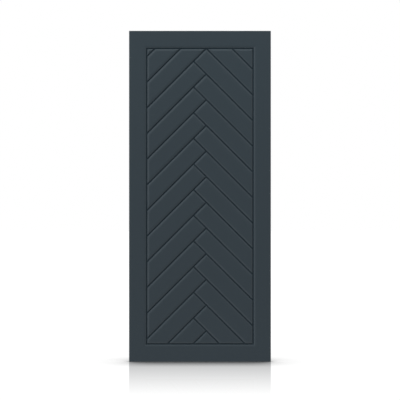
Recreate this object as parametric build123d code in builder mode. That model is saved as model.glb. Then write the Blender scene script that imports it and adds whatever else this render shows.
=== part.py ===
from build123d import *
import math
import os

# A hollow-core interior door leaf with a herringbone pattern routed into both faces.
# Two face skins are glued to a frame of stiles and rails, with pleated paper between the rails.
# Millimetres. +X runs from the hinge edge to the latch edge, -Y is the front and +Z is up.
# The origin is on the hinge edge, at its foot and halfway through the leaf.

# The leaf as a whole
LEAF_WIDTH = 914.4
LEAF_HEIGHT = 2133.6
LEAF_THICKNESS = 35.0
SKIN_THICKNESS = 8.0
ARRIS_RADIUS = 3.0

# The frame between the skins
STILE_WIDTH = 90.0
TOP_RAIL_HEIGHT = 90.0
LOCK_RAIL_HEIGHT = 180.0
LOCK_RAIL_MIDDLE = 965.0
BOTTOM_RAIL_HEIGHT = 90.0

# The paper honeycomb, whose cells stretch to a whole number in each bay
CELL_PITCH = 100.0
PAPER_THICKNESS = 0.6

# The pattern on the faces, measured between the middles of the grooves
BORDER_WIDTH = 114.3
BOARD_PITCH = 117.0

# One groove: a V between wide rounded shoulders, which lean this far where the V starts
# and which meet the face at a small angle
SHOULDER_RADIUS = 50.0
SHOULDER_LEAN = 20.0
SHOULDER_LIFT = 0.05
KERF_WIDTH = 6.0
GROOVE_DEPTH = 6.0

# Levels and places that follow from the sizes above
FRAME_THICKNESS = LEAF_THICKNESS - 2 * SKIN_THICKNESS
BAY_LEFT = STILE_WIDTH
BAY_WIDTH = LEAF_WIDTH - 2 * STILE_WIDTH
LOCK_RAIL_FOOT = LOCK_RAIL_MIDDLE - LOCK_RAIL_HEIGHT / 2
LOCK_RAIL_HEAD = LOCK_RAIL_MIDDLE + LOCK_RAIL_HEIGHT / 2
FIELD_LEFT = BORDER_WIDTH
FIELD_RIGHT = LEAF_WIDTH - BORDER_WIDTH
FIELD_FOOT = BORDER_WIDTH
FIELD_HEAD = LEAF_HEIGHT - BORDER_WIDTH

# Planes seen from the front, with x across the leaf and y up it
FRONT_FACE = Plane((0, -LEAF_THICKNESS / 2, 0), x_dir=(1, 0, 0), z_dir=(0, -1, 0))
FRAME_BACK = FRONT_FACE.offset(SKIN_THICKNESS - LEAF_THICKNESS)
FRAME_FRONT = FRONT_FACE.offset(-SKIN_THICKNESS)
MIDDLE_AXIS = Axis((LEAF_WIDTH / 2, 0, 0), (0, 0, 1))

os.makedirs("parts", exist_ok=True)


def save(piece, name):
    """Label a finished piece and write it under that name."""
    piece.part.label = name
    export_step(piece.part, f"parts/{name}.step")


def board_grooves():
    """Middle lines of the herringbone grooves, each a pair of points on the face.

    A rising and a falling groove cross the zigzag spine at each junction. The rising one stops
    at the junction, and the falling one starts half a step higher, on the rising one above it.
    The first junction lies on the groove at the head of the field.
    """
    step = BOARD_PITCH * math.sqrt(2)
    junction_x = LEAF_WIDTH / 2 + step / 4
    rows_above = math.ceil((FIELD_RIGHT - FIELD_LEFT) / step)
    rows_below = math.ceil((FIELD_HEAD - FIELD_FOOT) / step)
    lines = []
    for row in range(-rows_above, rows_below + 1):
        junction_y = FIELD_HEAD - row * step
        above_field = junction_y - FIELD_HEAD
        over_foot = junction_y - FIELD_FOOT
        rising = (max(0, above_field), min(junction_x - FIELD_LEFT, over_foot), -1)
        falling = (max(-step / 2, above_field), min(FIELD_RIGHT - junction_x, over_foot), 1)
        for start, end, side in (rising, falling):
            if end - start > KERF_WIDTH:
                head = (junction_x + side * start, junction_y - start)
                foot = (junction_x + side * end, junction_y - end)
                lines.append((FRONT_FACE.from_local_coords(head), FRONT_FACE.from_local_coords(foot)))
    return lines


def across(start, end):
    """Plane square to a run at its start, with y pointing out of the front face."""
    run = end - start
    return Plane(start, x_dir=FRONT_FACE.z_dir.cross(run), z_dir=run)


def frame_member(name, left, foot, width, height):
    """A square-edged length of timber between the skins."""
    with BuildPart() as member:
        with BuildSketch(FRAME_BACK):
            with Locations((left, foot)):
                Rectangle(width, height, align=Align.MIN)
        extrude(amount=FRAME_THICKNESS)
    save(member, name)


def honeycomb(name, foot, head):
    """Pleated paper that fills one bay: single walls on the slopes, doubled on the glued flats."""
    columns = max(1, round(BAY_WIDTH / (CELL_PITCH * math.sqrt(3) / 2)))
    rows = max(1, round((head - foot) / (CELL_PITCH / 2)))
    column_width = BAY_WIDTH / columns
    row_height = (head - foot) / rows
    half_flat = column_width / 3
    tip = half_flat * (2 - PAPER_THICKNESS / row_height)
    rise = row_height - PAPER_THICKNESS
    cell_corners = [
        (tip, 0),
        (half_flat, rise),
        (-half_flat, rise),
        (-tip, 0),
        (-half_flat, -rise),
        (half_flat, -rise),
    ]
    cell_middles = [
        (BAY_LEFT + column * column_width, foot + row * row_height)
        for column in range(columns + 1)
        for row in range(rows + 1)
        if (column + row) % 2
    ]
    with BuildPart() as bay:
        with BuildSketch(FRAME_BACK):
            with Locations((BAY_LEFT, foot)):
                Rectangle(BAY_WIDTH, head - foot, align=Align.MIN)
            with Locations(cell_middles):
                Polygon(*cell_corners, mode=Mode.SUBTRACT)
        extrude(amount=FRAME_THICKNESS)
    save(bay, name)


# The section that the router leaves, with its top at the face and its tip in the skin
shoulder_run = SHOULDER_RADIUS * math.sin(math.radians(SHOULDER_LEAN))
shoulder_drop = SHOULDER_RADIUS * (1 - math.cos(math.radians(SHOULDER_LEAN)))
groove_reach = KERF_WIDTH / 2 + shoulder_run
kerf_level = SHOULDER_LIFT - shoulder_drop
arc_level = SHOULDER_LIFT - SHOULDER_RADIUS
with BuildSketch() as groove_section:
    with BuildLine():
        CenterArc((-groove_reach, arc_level), SHOULDER_RADIUS, 90 - SHOULDER_LEAN, SHOULDER_LEAN)
        Polyline((-KERF_WIDTH / 2, kerf_level), (0, -GROOVE_DEPTH), (KERF_WIDTH / 2, kerf_level))
        CenterArc((groove_reach, arc_level), SHOULDER_RADIUS, 90, SHOULDER_LEAN)
        Polyline(
            (groove_reach, SHOULDER_LIFT),
            (groove_reach, GROOVE_DEPTH),
            (-groove_reach, GROOVE_DEPTH),
            (-groove_reach, SHOULDER_LIFT),
        )
    make_face()

# The front skin, with eased edges, the herringbone grooves and the border groove
with BuildPart() as front_skin:
    with BuildSketch(FRAME_FRONT):
        Rectangle(LEAF_WIDTH, LEAF_HEIGHT, align=Align.MIN)
    extrude(amount=SKIN_THICKNESS)
    fillet(front_skin.faces().sort_by(Axis.Y)[0].edges(), radius=ARRIS_RADIUS)
    grooves = []
    for start, end in board_grooves():
        with BuildSketch(across(start, end), mode=Mode.PRIVATE) as section:
            add(groove_section.sketch)
        grooves.append(extrude(section.sketch, amount=(end - start).length, mode=Mode.PRIVATE))
    add(grooves, mode=Mode.SUBTRACT)
    with BuildLine(FRONT_FACE) as border_line:
        Polyline(
            (LEAF_WIDTH / 2, FIELD_FOOT),
            (FIELD_RIGHT, FIELD_FOOT),
            (FIELD_RIGHT, FIELD_HEAD),
            (FIELD_LEFT, FIELD_HEAD),
            (FIELD_LEFT, FIELD_FOOT),
            close=True,
        )
    with BuildSketch(across(border_line.line @ 0, border_line.line @ 0.01)):
        add(groove_section.sketch)
    sweep(path=border_line.line, transition=Transition.RIGHT, mode=Mode.SUBTRACT)
save(front_skin, "front_skin")

# The back skin is the same sheet turned to face the other way
with BuildPart() as back_skin:
    add(front_skin.part.rotate(MIDDLE_AXIS, 180))
save(back_skin, "back_skin")

# Stiles run the full height, and the rails fit between them
frame_member("left_stile", 0, 0, STILE_WIDTH, LEAF_HEIGHT)
frame_member("right_stile", LEAF_WIDTH - STILE_WIDTH, 0, STILE_WIDTH, LEAF_HEIGHT)
frame_member("top_rail", BAY_LEFT, LEAF_HEIGHT - TOP_RAIL_HEIGHT, BAY_WIDTH, TOP_RAIL_HEIGHT)
frame_member("lock_rail", BAY_LEFT, LOCK_RAIL_FOOT, BAY_WIDTH, LOCK_RAIL_HEIGHT)
frame_member("bottom_rail", BAY_LEFT, 0, BAY_WIDTH, BOTTOM_RAIL_HEIGHT)

# A bay of honeycomb above the lock rail and one below it
honeycomb("upper_honeycomb", LOCK_RAIL_HEAD, LEAF_HEIGHT - TOP_RAIL_HEIGHT)
honeycomb("lower_honeycomb", BOTTOM_RAIL_HEIGHT, LOCK_RAIL_FOOT)
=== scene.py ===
import math

import bpy
from mathutils import Matrix, Vector
from mathutils.geometry import delaunay_2d_cdt


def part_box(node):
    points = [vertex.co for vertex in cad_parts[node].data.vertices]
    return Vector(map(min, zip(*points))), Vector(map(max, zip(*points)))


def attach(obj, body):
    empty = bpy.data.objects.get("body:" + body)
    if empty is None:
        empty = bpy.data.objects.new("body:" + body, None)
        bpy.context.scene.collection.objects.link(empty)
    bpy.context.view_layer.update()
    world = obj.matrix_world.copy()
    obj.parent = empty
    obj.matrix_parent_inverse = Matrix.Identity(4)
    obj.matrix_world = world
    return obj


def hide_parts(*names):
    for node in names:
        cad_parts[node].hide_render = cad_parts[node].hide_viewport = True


# A painted hollow-core door leaf with a herringbone field, standing on a white studio floor.
# Metres, in the frame of the solids: +X across the leaf, -Y out of the front face, +Z up.

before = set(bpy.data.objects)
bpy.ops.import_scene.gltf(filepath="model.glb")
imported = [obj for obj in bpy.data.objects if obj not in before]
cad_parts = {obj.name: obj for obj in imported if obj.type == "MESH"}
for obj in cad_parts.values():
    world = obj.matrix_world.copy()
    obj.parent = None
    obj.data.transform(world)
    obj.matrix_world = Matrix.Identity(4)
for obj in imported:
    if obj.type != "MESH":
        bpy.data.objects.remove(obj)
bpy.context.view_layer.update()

# The leaf, as the solids have it
skin_low, skin_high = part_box("front_skin")
LEAF_WIDTH = skin_high.x - skin_low.x
LEAF_HEIGHT = skin_high.z - skin_low.z
SKIN_THICKNESS = skin_high.y - skin_low.y
FRONT_Y = skin_low.y

# A half turn about the leaf's upright middle line, which repeats the front at the back
HALF_TURN = Matrix(((-1, 0, 0, LEAF_WIDTH), (0, -1, 0, 0), (0, 0, 1, 0), (0, 0, 0, 1)))
SIDES = {"front": Matrix.Identity(4), "back": HALF_TURN}

# The routed pattern, measured between the middles of the grooves
BORDER_WIDTH = 0.1143
BOARD_PITCH = 0.117
FIELD_LEFT = BORDER_WIDTH
FIELD_RIGHT = LEAF_WIDTH - BORDER_WIDTH
FIELD_FOOT = BORDER_WIDTH
FIELD_HEAD = LEAF_HEIGHT - BORDER_WIDTH

# One groove: wide rounded shoulders that lean this far where the V between them starts
SHOULDER_RADIUS = 0.050
SHOULDER_LEAN = math.radians(20)
KERF_WIDTH = 0.006
GROOVE_DEPTH = 0.006

# The leaf's rim, and a fine chamfer where a skin meets the timber
ARRIS_RADIUS = 0.003
SEAM_CHAMFER = 0.0003
UPRIGHT = math.radians(90)
SEAM_LEAN = math.radians(135)

# How finely the round stretches are divided, and how near two points are one
SHOULDER_STEPS = 8
ARRIS_STEPS = 6
PLACE_DIGITS = 6
SAME_PLACE = 1e-6
ON_LINE = 1e-5

# Normals of the front skin's flats
OUTWARDS = (0, -1, 0)
INWARDS = (0, 1, 0)

# The paint, and the painted shade that darkens the grooves' valleys: its reach from their middles and the
# share of it that fades
PAINT = (0.0329, 0.0435, 0.0525, 1)
KERF_PAINTED_SHADE = (0.0078, 0.0161, 0.0223, 1)
SHADE_NAME = "groove_shade"
SHADE_REACH = 0.0062
SHADE_FADE = 0.385

# Bare timber and paper, whose grain is drawn out along one axis
EARLY_WOOD = (0.62, 0.46, 0.28, 1)
LATE_WOOD = (0.43, 0.28, 0.14, 1)
KRAFT_BROWN = (0.41, 0.28, 0.155, 1)
GRAIN_STRETCH = 0.04

# The floor: a mirror that fades out at its reach, and a painted shadow where the leaf stands
FLOOR_REACH = 30
FLOOR_WHITE = 1.08
MIRROR_REACH = 1.40
MIRROR_SHARE = 0.55
MIRROR_SHADE = 0.5
CONTACT_REACH = 0.235
CONTACT_SHADE = 0.08
CONTACT_SAMPLES = 16
OPEN_BESIDE_WALL = 0.5

# Light from all round, weaker from below the horizon
AMBIENT = 0.47
BOUNCE = 0.06
HORIZON_BLUR = 0.05
FLOOR_MIRROR_WHITE = 0.95

# What the leaf mirrors: edges are cosines of the angle from straight ahead or from overhead,
# and the key side is up and to the left of someone who looks at the face
FLANK_GLOW = 1.09
FLANK_EDGE = (0.79, 0.969)
KEY_LEAN = 0.62
KEY_LEFT = 0.8
KEY_UP = 0.6
FACE_EDGE = 0.3
EDGE_WHITE = 1.0
OVERHEAD_GLOW = 4.0
OVERHEAD_EDGE = 0.8

# The lamps for the front, which the half turn repeats for the back
KEY_WAY = Vector((0.700, 0.656, -0.283))
KEY_STRENGTH = 2.42
KEY_SPREAD = math.radians(20)
TOP_LIGHT_PLACE = Vector((0.6, -2.5, 5.5))
TOP_LIGHT_SIZE = 2.0
TOP_LIGHT_WATTS = 72
TOP_LIGHT_COLOUR = (0.44, 0.92, 1.0)

# The photograph's framing: the leaf's outline in its 400 pixels
IMAGE_SIDE_PX = 400
LEAF_LEFT_PX = 129.03
LEAF_RIGHT_PX = 270.90
LEAF_HEAD_PX = 30.75
LENS_MM = 100
SENSOR_MM = 36


# Shapes

def board_grooves():
    """Middle lines of the herringbone grooves, as pairs of points in the face.

    A rising and a falling groove cross the zigzag spine at each junction. The rising one stops
    there, and the falling one starts half a step higher, on the rising groove above.
    """
    step = BOARD_PITCH * math.sqrt(2)
    junction_x = LEAF_WIDTH / 2 + step / 4
    rows_above = math.ceil((FIELD_RIGHT - FIELD_LEFT) / step)
    rows_below = math.ceil((FIELD_HEAD - FIELD_FOOT) / step)
    lines = []
    for row in range(-rows_above, rows_below + 1):
        junction_z = FIELD_HEAD - row * step
        above_field = junction_z - FIELD_HEAD
        over_foot = junction_z - FIELD_FOOT
        rising = (max(0, above_field), min(junction_x - FIELD_LEFT, over_foot), -1)
        falling = (max(-step / 2, above_field), min(FIELD_RIGHT - junction_x, over_foot), 1)
        for start, end, side in (rising, falling):
            if end - start > KERF_WIDTH:
                head = Vector((junction_x + side * start, junction_z - start))
                foot = Vector((junction_x + side * end, junction_z - end))
                lines.append((head, foot))
    return lines


def rectangle(left, foot, right, head):
    """Corners of an upright rectangle, anticlockwise from the lower left."""
    return [Vector((left, foot)), Vector((right, foot)), Vector((right, head)), Vector((left, head))]


def board_outlines():
    """Outlines of the boards between the grooves' middle lines, each anticlockwise."""
    segments = board_grooves()
    corners = rectangle(FIELD_LEFT, FIELD_FOOT, FIELD_RIGHT, FIELD_HEAD)
    segments += [(corners[i - 1], corner) for i, corner in enumerate(corners)]
    points = [point for segment in segments for point in segment]
    edges = [(2 * i, 2 * i + 1) for i in range(len(segments))]
    split_by_edges = 3
    points, _, faces, *_ = delaunay_2d_cdt(points, edges, [], split_by_edges, SAME_PLACE)
    return [[points[i] for i in face] for face in faces]


def field_sides(boards):
    """The boards' points on each side of the field, in order from corner to corner."""
    field = rectangle(FIELD_LEFT, FIELD_FOOT, FIELD_RIGHT, FIELD_HEAD)
    places = {}
    for outline in boards:
        for point in outline:
            places[round(point.x, PLACE_DIGITS), round(point.y, PLACE_DIGITS)] = point
    sides = []
    for i, start in enumerate(field):
        along = (field[(i + 1) % len(field)] - start).normalized()
        on_side = [point for point in places.values() if abs(along.cross(point - start)) < ON_LINE]
        sides.append(sorted(on_side, key=along.dot))
    return sides


def moved_in(outline, distance):
    """An outline moved to the left of its own direction, with mitred corners.

    A side that runs out closes to a point, and its neighbours carry on from there. Returns the
    moved points, one for each point of the outline, and how far the outline could move.
    """
    count = len(outline)
    points = list(outline)
    members = [[i] for i in range(count)]
    ways = [(outline[(i + 1) % count] - outline[i]).normalized() for i in range(count)]
    travelled = 0
    while len(points) > 2:
        mitres = []
        for i, way in enumerate(ways):
            before, after = Vector((-ways[i - 1].y, ways[i - 1].x)), Vector((-way.y, way.x))
            mitres.append((before + after) / (1 + before.dot(after)))
        closing = []
        for i, way in enumerate(ways):
            following = (i + 1) % len(points)
            speed = (mitres[i] - mitres[following]).dot(way)
            length = (points[following] - points[i]).dot(way)
            closing.append(length / speed if speed > SAME_PLACE else math.inf)
        step = min(distance - travelled, *closing)
        points = [point + mitre * step for point, mitre in zip(points, mitres)]
        travelled += step
        if step != min(closing):
            break
        closed = closing.index(step)
        following = (closed + 1) % len(points)
        members[following] = members[closed] + members[following]
        del points[closed], members[closed], ways[closed]
    moved = [None] * count
    for point, group in zip(points, members):
        for i in group:
            moved[i] = point
    return moved, travelled


def groove_profile():
    """Half of a groove from its valley to the flat: distances from the middle, depths and leans."""
    drop = SHOULDER_RADIUS * (1 - math.cos(SHOULDER_LEAN))
    wall = math.atan2(GROOVE_DEPTH - drop, KERF_WIDTH / 2)
    reach = KERF_WIDTH / 2 + SHOULDER_RADIUS * math.sin(SHOULDER_LEAN)
    profile = [(0, GROOVE_DEPTH, wall), (KERF_WIDTH / 2, drop, wall)]
    for i in range(SHOULDER_STEPS + 1):
        lean = SHOULDER_LEAN * (1 - i / SHOULDER_STEPS)
        drop = SHOULDER_RADIUS * (1 - math.cos(lean))
        profile.append((reach - SHOULDER_RADIUS * math.sin(lean), drop, lean))
    return profile


def rim_profile():
    """The skin's rim from its glued side to the flat: distances from the edge, depths and leans."""
    seam_top = SKIN_THICKNESS - SEAM_CHAMFER
    profile = [(SEAM_CHAMFER, SKIN_THICKNESS, SEAM_LEAN), (0, seam_top, SEAM_LEAN), (0, seam_top, UPRIGHT)]
    for i in range(ARRIS_STEPS + 1):
        lean = UPRIGHT * (1 - i / ARRIS_STEPS)
        inset = ARRIS_RADIUS * (1 - math.sin(lean))
        profile.append((inset, ARRIS_RADIUS * (1 - math.cos(lean)), lean))
    return profile


def leaning(way, lean):
    """The normal beside a line that runs this way in the face, tipped from outwards to its right."""
    return way.y * math.sin(lean), -math.cos(lean), -way.x * math.sin(lean)


class SkinMesh:
    """Vertices and faces of a skin, welded where their places agree, with a normal at each corner."""

    def __init__(self):
        self.places = {}
        self.vertices = []
        self.shade = []
        self.faces = []
        self.normals = []

    def vertex(self, point, depth, shade=0):
        """The number of the vertex at a point of the face and a depth below it."""
        place = tuple(round(length, PLACE_DIGITS) for length in (point.x, depth, point.y))
        if place not in self.places:
            self.places[place] = len(self.vertices)
            self.vertices.append((point.x, FRONT_Y + depth, point.y))
            self.shade.append(shade)
        return self.places[place]

    def face(self, corners, normals):
        """Add a face without the corners that have run together."""
        kept = [i for i, corner in enumerate(corners) if corner != corners[i - 1]]
        if len({corners[i] for i in kept}) > 2:
            self.faces.append([corners[i] for i in kept])
            self.normals += [normals[i] for i in kept]

    def flat(self, outline, depth, facing):
        """Add a flat face inside an outline."""
        corners = [self.vertex(point, depth) for point in outline]
        self.face(corners, [facing] * len(corners))

    def rings(self, outline, profile, shaded=False):
        """Add bands that follow a profile inwards from an outline, as far as the outline can move.

        Returns the innermost outline, or nothing if the bands close before the profile ends.
        """
        ways = [(point - outline[i - 1]).normalized() for i, point in enumerate(outline)]
        outer = None
        last_inset, last_depth, last_lean = profile[0]
        for inset, depth, lean in profile:
            points, reached = moved_in(outline, inset)
            closed = reached < inset - SAME_PLACE
            if closed:
                share = (reached - last_inset) / (inset - last_inset)
                depth = last_depth + (depth - last_depth) * share
                lean = last_lean + (lean - last_lean) * share
            # Painted shade for the grooves' valleys: full in the middle, none at its reach
            shade = max(0, 1 - inset / SHADE_REACH) if shaded else 0
            inner = [self.vertex(point, depth, shade) for point in points]
            if outer:
                for i, way in enumerate(ways):
                    low, high = leaning(way, last_lean), leaning(way, lean)
                    self.face((outer[i - 1], outer[i], inner[i], inner[i - 1]), (low, low, high, high))
            if closed:
                return None
            outer = inner
            last_inset, last_depth, last_lean = inset, depth, lean
        return points

    def built(self, name):
        """The finished mesh, with the painted shade of its grooves as an attribute."""
        mesh = bpy.data.meshes.new(name)
        mesh.from_pydata(self.vertices, [], self.faces)
        shade = mesh.attributes.new(SHADE_NAME, "FLOAT", "POINT")
        shade.data.foreach_set("value", self.shade)
        mesh.normals_split_custom_set(self.normals)
        return mesh


def add_boards(skin, boards):
    """The boards, rounded down into the grooves round them. The narrowest have no flat."""
    for outline in boards:
        level = skin.rings(outline, groove_profile(), shaded=True)
        if level:
            skin.flat(level, 0, OUTWARDS)


def add_border(skin, boards):
    """The border from its groove to its eased rim, and the glued side behind it."""
    sides = field_sides(boards)
    clockwise = [point for side in reversed(sides) for point in reversed(side[1:])]
    inner = skin.rings(clockwise, groove_profile(), shaded=True)
    leaf = rectangle(0, 0, LEAF_WIDTH, LEAF_HEIGHT)
    outer = skin.rings(leaf, rim_profile())
    moved = dict(zip(map(tuple, clockwise), inner))
    for i, side in enumerate(sides):
        near = [moved[tuple(point)] for point in reversed(side)]
        skin.flat([outer[i], outer[(i + 1) % len(outer)], *near], 0, OUTWARDS)
    glued, _ = moved_in(leaf, SEAM_CHAMFER)
    skin.flat(glued[::-1], SKIN_THICKNESS, INWARDS)


def skin_mesh(name):
    """A face skin: boards with rounded edges between V grooves, inside a border with eased edges."""
    skin = SkinMesh()
    boards = board_outlines()
    add_boards(skin, boards)
    add_border(skin, boards)
    return skin.built(name)


def add_piece(name, mesh, material, node):
    """Put a mesh in the scene as a piece of the leaf that stands for one of its solids."""
    mesh.materials.append(material)
    piece = bpy.data.objects.new(name, mesh)
    bpy.context.scene.collection.objects.link(piece)
    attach(piece, "root")
    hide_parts(node)


def dress(node, material):
    """Give a solid that shows as it is a material of its own."""
    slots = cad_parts[node].data.materials
    slots.clear()
    slots.append(material)


# Materials

class Nodes:
    """A node tree, emptied, with short ways to add nodes and join them."""

    def __init__(self, tree):
        self.tree = tree
        self.tree.nodes.clear()

    def add(self, kind, inputs=None, **settings):
        """Add a node whose inputs are plain values or the outputs of other nodes."""
        node = self.tree.nodes.new(kind)
        for key, value in settings.items():
            setattr(node, key, value)
        for key, value in (inputs or {}).items():
            if isinstance(value, bpy.types.NodeSocket):
                self.tree.links.new(value, node.inputs[key])
            else:
                node.inputs[key].default_value = value
        return node

    def place(self):
        """A point's coordinates in its own object."""
        return self.add("ShaderNodeTexCoord").outputs["Object"]

    def parts(self, vector):
        """The X, Y and Z of a vector."""
        return self.add("ShaderNodeSeparateXYZ", {"Vector": vector}).outputs

    def noise(self, place, scale, detail, distortion=0):
        inputs = {"Vector": place, "Scale": scale, "Detail": detail, "Distortion": distortion}
        return self.add("ShaderNodeTexNoise", inputs).outputs["Fac"]

    def math(self, operation, *values):
        return self.add("ShaderNodeMath", dict(enumerate(values)), operation=operation).outputs[0]

    def span(self, value, low, high, start=0, end=1, curve="LINEAR"):
        """A value moved from the span between start and end to the one between low and high."""
        inputs = {"Value": value, "From Min": start, "From Max": end, "To Min": low, "To Max": high}
        return self.add("ShaderNodeMapRange", inputs, interpolation_type=curve).outputs["Result"]

    def between(self, share, first, second):
        """A number this share of the way from the first to the second."""
        return self.add("ShaderNodeMix", {0: share, 2: first, 3: second}).outputs[0]

    def mixed(self, share, first, second, way="MIX"):
        """A colour mixed from two, whose sockets follow those for numbers and vectors."""
        inputs = {0: share, 6: first, 7: second}
        return self.add("ShaderNodeMix", inputs, data_type="RGBA", blend_type=way).outputs[2]

    def shaded(self, colour, shade):
        """A colour times a shade."""
        return self.mixed(1, colour, shade, way="MULTIPLY")

    def bump(self, height, strength, distance):
        inputs = {"Height": height, "Strength": strength, "Distance": distance}
        return self.add("ShaderNodeBump", inputs).outputs["Normal"]

    def surface(self, colour, roughness, normal):
        """Finish a material as a plain surface that does not let light through."""
        inputs = {"Base Color": colour, "Roughness": roughness, "Normal": normal}
        self.finish(self.add("ShaderNodeBsdfPrincipled", inputs))

    def mix_shaders(self, share, first, second):
        inputs = {0: share, 1: first.outputs[0], 2: second.outputs[0]}
        return self.add("ShaderNodeMixShader", inputs)

    def finish(self, shader, kind="ShaderNodeOutputMaterial"):
        self.add(kind, {"Surface": shader.outputs[0]})


def new_nodes(name):
    """A material and its empty node tree."""
    material = bpy.data.materials.new(name)
    material.use_nodes = True
    return material, Nodes(material.node_tree)


def along_grain(nodes, axis):
    """Object coordinates drawn out along one axis, so that a noise makes streaks along it."""
    stretch = [1, 1, 1]
    stretch["XYZ".index(axis)] = GRAIN_STRETCH
    return nodes.add("ShaderNodeMapping", {"Vector": nodes.place(), "Scale": stretch}).outputs[0]


def painted_mdf():
    """Sprayed charcoal paint: a fine orange peel, faint mottling, and dull grooves with painted shade
    darkening their valleys.
    """
    material, nodes = new_nodes("painted_mdf")
    place = nodes.place()
    valley = nodes.add("ShaderNodeAttribute", attribute_name=SHADE_NAME).outputs["Fac"]
    # Painted shade: the paint turns dark in the grooves' valleys, where shade falls
    painted_shade = nodes.span(valley, low=0, high=1, end=SHADE_FADE, curve="SMOOTHSTEP")
    mottle = nodes.span(nodes.noise(place, scale=3, detail=3), low=0.97, high=1.03)
    satin = nodes.span(nodes.noise(place, scale=60, detail=4), low=0.37, high=0.45)
    dulling = nodes.span(painted_shade, low=0, high=0.4)
    peel = nodes.noise(place, scale=700, detail=2)
    nodes.surface(
        colour=nodes.shaded(nodes.mixed(painted_shade, PAINT, KERF_PAINTED_SHADE), mottle),
        roughness=nodes.math("ADD", satin, dulling),
        normal=nodes.bump(peel, strength=0.12, distance=0.0004),
    )
    return material


def painted_timber(name, axis):
    """The same paint brushed on a sawn edge, where the grain shows through as fine ridges."""
    material, nodes = new_nodes(name)
    grain = nodes.noise(along_grain(nodes, axis), scale=900, detail=4)
    nodes.surface(
        colour=nodes.shaded(PAINT, nodes.span(grain, low=0.94, high=1.06)),
        roughness=nodes.span(grain, low=0.42, high=0.56),
        normal=nodes.bump(grain, strength=0.25, distance=0.0004),
    )
    return material


def bare_pine(name, axis):
    """Planed softwood: broad growth bands along the length with fine fibres between them."""
    material, nodes = new_nodes(name)
    place = along_grain(nodes, axis)
    fibres = nodes.noise(place, scale=1200, detail=5)
    bands = nodes.noise(place, scale=70, detail=3, distortion=0.6)
    growth = nodes.add("ShaderNodeValToRGB", {"Fac": bands})
    early, late = growth.color_ramp.elements
    early.position, early.color = 0.38, EARLY_WOOD
    late.position, late.color = 0.66, LATE_WOOD
    nodes.surface(
        colour=nodes.shaded(growth.outputs["Color"], nodes.span(fibres, low=0.85, high=1.12)),
        roughness=nodes.span(fibres, low=0.6, high=0.78),
        normal=nodes.bump(fibres, strength=0.3, distance=0.0003),
    )
    return material


def kraft_paper(name, axis):
    """Unbleached paper: brown, matt, with cloudy patches and short darker fibres."""
    material, nodes = new_nodes(name)
    clouds = nodes.noise(nodes.place(), scale=40, detail=4)
    fibres = nodes.noise(along_grain(nodes, axis), scale=1500, detail=3)
    patches = nodes.span(clouds, low=0.88, high=1.12)
    streaks = nodes.span(fibres, low=0.85, high=1.1)
    nodes.surface(
        colour=nodes.shaded(KRAFT_BROWN, nodes.math("MULTIPLY", patches, streaks)),
        roughness=nodes.span(clouds, low=0.8, high=0.95),
        normal=nodes.bump(fibres, strength=0.3, distance=0.0002),
    )
    return material


def white_floor():
    """A white studio floor: a mirror by the leaf that dulls further off, with a painted shadow on its glow
    and its mirror where the leaf stands.

    It shows from above only, so that a view from below still sees the leaf's foot.
    """
    material, nodes = new_nodes("white_floor")
    away = nodes.math("ABSOLUTE", nodes.parts(nodes.place())["Y"])
    gloss = nodes.span(away, low=MIRROR_SHARE, high=0, end=MIRROR_REACH)
    contact = nodes.add("ShaderNodeAmbientOcclusion", {"Distance": CONTACT_REACH}, samples=CONTACT_SAMPLES)
    openness = contact.outputs["AO"]
    # Painted shadow: the floor's glow and its mirror darken where the leaf closes off the open sky
    glow_with_painted_shadow = nodes.span(openness, low=CONTACT_SHADE, high=FLOOR_WHITE, start=OPEN_BESIDE_WALL)
    mirror_painted_shadow = nodes.span(openness, low=MIRROR_SHADE, high=1, start=OPEN_BESIDE_WALL)
    white = nodes.add("ShaderNodeEmission", {"Strength": glow_with_painted_shadow})
    mirror = nodes.add("ShaderNodeBsdfGlossy", {"Roughness": 0, "Color": mirror_painted_shadow})
    clear = nodes.add("ShaderNodeBsdfTransparent")
    from_below = nodes.add("ShaderNodeNewGeometry").outputs["Backfacing"]
    nodes.finish(nodes.mix_shaders(from_below, nodes.mix_shaders(gloss, white, mirror), clear))
    return material


# Studio

def studio_floor():
    """A wide floor whose light and reflection stay off the leaf."""
    mesh = bpy.data.meshes.new("studio_floor")
    corners = rectangle(-FLOOR_REACH, -FLOOR_REACH, FLOOR_REACH, FLOOR_REACH)
    mesh.from_pydata([(corner.x, corner.y, 0) for corner in corners], [], [range(len(corners))])
    mesh.materials.append(white_floor())
    floor = bpy.data.objects.new("studio_floor", mesh)
    floor.location.x = LEAF_WIDTH / 2
    floor.visible_diffuse = False
    floor.visible_glossy = False
    bpy.context.scene.collection.objects.link(floor)


def leaf_reflection(nodes, x, y, z):
    """What the leaf mirrors in a direction, the same for both faces.

    A face sees a dark spot straight ahead with bright flanks round it, brightest on the key
    light's side. An edge sees plain white, with a brighter strip overhead.
    """
    ahead = nodes.math("ABSOLUTE", y)
    flank = nodes.span(ahead, FLANK_GLOW, 0, *FLANK_EDGE, curve="SMOOTHSTEP")
    leftward = nodes.math("MULTIPLY", x, nodes.math("SIGN", y))
    keyward = nodes.math("MULTIPLY_ADD", leftward, KEY_LEFT, nodes.math("MULTIPLY", z, KEY_UP))
    glow = nodes.math("MULTIPLY", flank, nodes.math("MULTIPLY_ADD", keyward, KEY_LEAN, 1))
    overhead = nodes.span(z, 0, OVERHEAD_GLOW, start=OVERHEAD_EDGE)
    around = nodes.math("ADD", overhead, EDGE_WHITE)
    to_face = nodes.span(ahead, 0, 1, end=FACE_EDGE)
    return nodes.between(to_face, around, glow)


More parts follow.
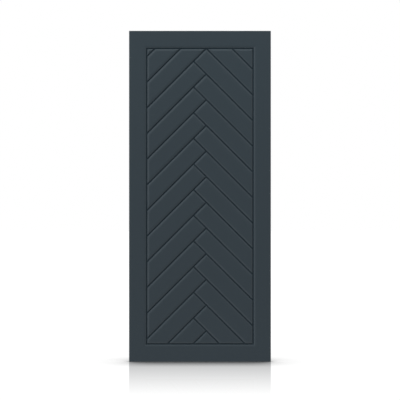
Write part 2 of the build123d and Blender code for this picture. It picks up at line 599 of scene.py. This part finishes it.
def studio_world():
    """White to the camera and in the floor's mirror, and an even light with a weak bounce from below."""
    world = bpy.data.worlds.new("studio_world")
    world.use_nodes = True
    bpy.context.scene.world = world
    nodes = Nodes(world.node_tree)
    ray = nodes.add("ShaderNodeLightPath").outputs
    x, y, z = nodes.parts(nodes.add("ShaderNodeTexCoord").outputs["Generated"])
    even = nodes.span(z, BOUNCE, AMBIENT, start=-HORIZON_BLUR, end=HORIZON_BLUR)
    on_leaf = nodes.between(ray["Is Glossy Ray"], even, leaf_reflection(nodes, x, y, z))
    off_floor = nodes.between(ray["Is Singular Ray"], on_leaf, FLOOR_MIRROR_WHITE)
    seen = nodes.between(ray["Is Camera Ray"], off_floor, 1)
    light = nodes.add("ShaderNodeBackground", {"Color": (1, 1, 1, 1), "Strength": seen})
    nodes.finish(light, kind="ShaderNodeOutputWorld")


def add_lamp(name, light, way, place=(0, 0, 0)):
    """Put a light in the studio that shines one way and is not mirrored in the leaf."""
    lamp = bpy.data.objects.new(name, light)
    lamp.location = place
    lamp.rotation_mode = "QUATERNION"
    lamp.rotation_quaternion = way.to_track_quat("-Z", "Y")
    lamp.visible_glossy = False
    bpy.context.scene.collection.objects.link(lamp)


def key_light(name, turn):
    """A distant light from the upper left of a face, so that it falls evenly over the leaf."""
    light = bpy.data.lights.new(name, "SUN")
    light.energy = KEY_STRENGTH
    light.angle = KEY_SPREAD
    add_lamp(name, light, turn.to_3x3() @ KEY_WAY)


def top_light(name, turn):
    """A square soft box high before a face, aimed at the middle of the leaf."""
    light = bpy.data.lights.new(name, "AREA")
    light.size = TOP_LIGHT_SIZE
    light.energy = TOP_LIGHT_WATTS
    light.color = TOP_LIGHT_COLOUR
    place = turn @ TOP_LIGHT_PLACE
    add_lamp(name, light, Vector((LEAF_WIDTH / 2, 0, LEAF_HEIGHT / 2)) - place, place)


def photo_camera():
    """A long lens square to the front face, framed as the photograph frames the leaf."""
    metres_per_px = LEAF_WIDTH / (LEAF_RIGHT_PX - LEAF_LEFT_PX)
    distance = IMAGE_SIDE_PX * metres_per_px * LENS_MM / SENSOR_MM
    middle_px = IMAGE_SIDE_PX / 2
    camera = bpy.data.cameras.new("camera")
    camera.lens = LENS_MM
    camera.sensor_width = SENSOR_MM
    viewer = bpy.data.objects.new("camera", camera)
    viewer.location = (
        (middle_px - LEAF_LEFT_PX) * metres_per_px,
        FRONT_Y - distance,
        LEAF_HEIGHT - (middle_px - LEAF_HEAD_PX) * metres_per_px,
    )
    viewer.rotation_euler.x = UPRIGHT
    bpy.context.scene.collection.objects.link(viewer)
    bpy.context.scene.camera = viewer


# The leaf's two faces

face_paint = painted_mdf()
for side, turn in SIDES.items():
    face_mesh = skin_mesh(f"{side}_face")
    face_mesh.transform(turn)
    add_piece(f"{side}_face", face_mesh, face_paint, f"{side}_skin")

# The frame and the paper between them

stile_paint = painted_timber("painted_stile", "Z")
rail_paint = painted_timber("painted_rail", "X")
paper = kraft_paper("kraft_paper", "X")
dress("left_stile", stile_paint)
dress("right_stile", stile_paint)
dress("top_rail", rail_paint)
dress("bottom_rail", rail_paint)
dress("lock_rail", bare_pine("bare_pine", "X"))
dress("upper_honeycomb", paper)
dress("lower_honeycomb", paper)

# The studio round the leaf

studio_floor()
studio_world()
for side, turn in SIDES.items():
    key_light(f"{side}_key", turn)
    top_light(f"{side}_top_light", turn)
photo_camera()
bpy.context.scene.view_settings.view_transform = "Standard"
